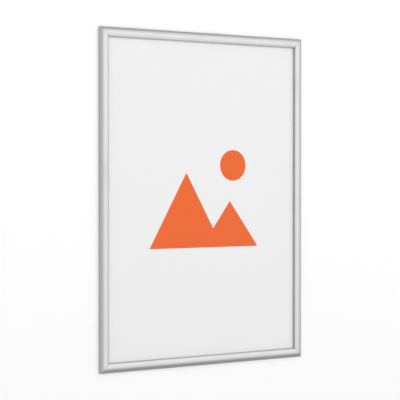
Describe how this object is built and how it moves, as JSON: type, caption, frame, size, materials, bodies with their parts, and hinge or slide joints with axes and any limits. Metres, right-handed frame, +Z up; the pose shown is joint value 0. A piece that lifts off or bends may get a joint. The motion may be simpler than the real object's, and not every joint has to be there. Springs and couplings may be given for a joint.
{
  "type": "outdoor snap frame",
  "caption": "Slim wall-mounted outdoor display frame: mitred silver rails with hinged snap-open lids press a clear cover on an A1 sheet.",
  "frame": {"origin": "centre of the frame on the wall plane, which is the centre of the four wall screw holes", "axes": "+X to the viewer's right, +Z up, and the front of the frame faces -Y; the wall is at Y = 0"},
  "size_m": [0.645, 0.012, 0.895],
  "materials": {
    "base_aluminium": "mill finish extrusion, silver anodised",
    "lid_aluminium": "satin silver anodised, fine grain along the rail",
    "seal_rubber": "soft extruded seal, satin",
    "spring_steel": "bent strip, bright",
    "key_steel": "zinc plated, satin",
    "screw_steel": "dark zinc plated",
    "back_plastic": "white sheet, matt",
    "poster_paper": "smooth white poster paper",
    "cover_plastic": "clear antiglare sheet, fine matt"
  },
  "bodies": {
    "frame": {"base_rail_top": "base_aluminium", "base_rail_bottom": "base_aluminium", "base_rail_left": "base_aluminium", "base_rail_right": "base_aluminium", "clip_springs_top": "spring_steel", "clip_springs_bottom": "spring_steel", "clip_springs_left": "spring_steel", "clip_springs_right": "spring_steel", "corner_key_top_left": "key_steel", "corner_key_top_right": "key_steel", "corner_key_bottom_left": "key_steel", "corner_key_bottom_right": "key_steel", "corner_key_screws": "screw_steel", "back_panel": "back_plastic", "poster_insert": "poster_paper", "cover_sheet": "cover_plastic"},
    "lid_top": {"lid_top": "lid_aluminium", "seal_top": "seal_rubber"},
    "lid_bottom": {"lid_bottom": "lid_aluminium", "seal_bottom": "seal_rubber"},
    "lid_left": {"lid_left": "lid_aluminium", "seal_left": "seal_rubber"},
    "lid_right": {"lid_right": "lid_aluminium", "seal_right": "seal_rubber"}
  },
  "joints": [
    {"name": "lid_top_hinge", "type": "hinge", "parent": "frame", "child": "lid_top", "pos_m": [0, -0.004, 0.445], "axis": [-1, 0, 0], "range_deg": [0, 90]},
    {"name": "lid_bottom_hinge", "type": "hinge", "parent": "frame", "child": "lid_bottom", "pos_m": [0, -0.004, -0.445], "axis": [1, 0, 0], "range_deg": [0, 90]},
    {"name": "lid_left_hinge", "type": "hinge", "parent": "frame", "child": "lid_left", "pos_m": [-0.32, -0.004, 0], "axis": [0, 0, -1], "range_deg": [0, 90]},
    {"name": "lid_right_hinge", "type": "hinge", "parent": "frame", "child": "lid_right", "pos_m": [0.32, -0.004, 0], "axis": [0, 0, 1], "range_deg": [0, 90]}
  ]
}
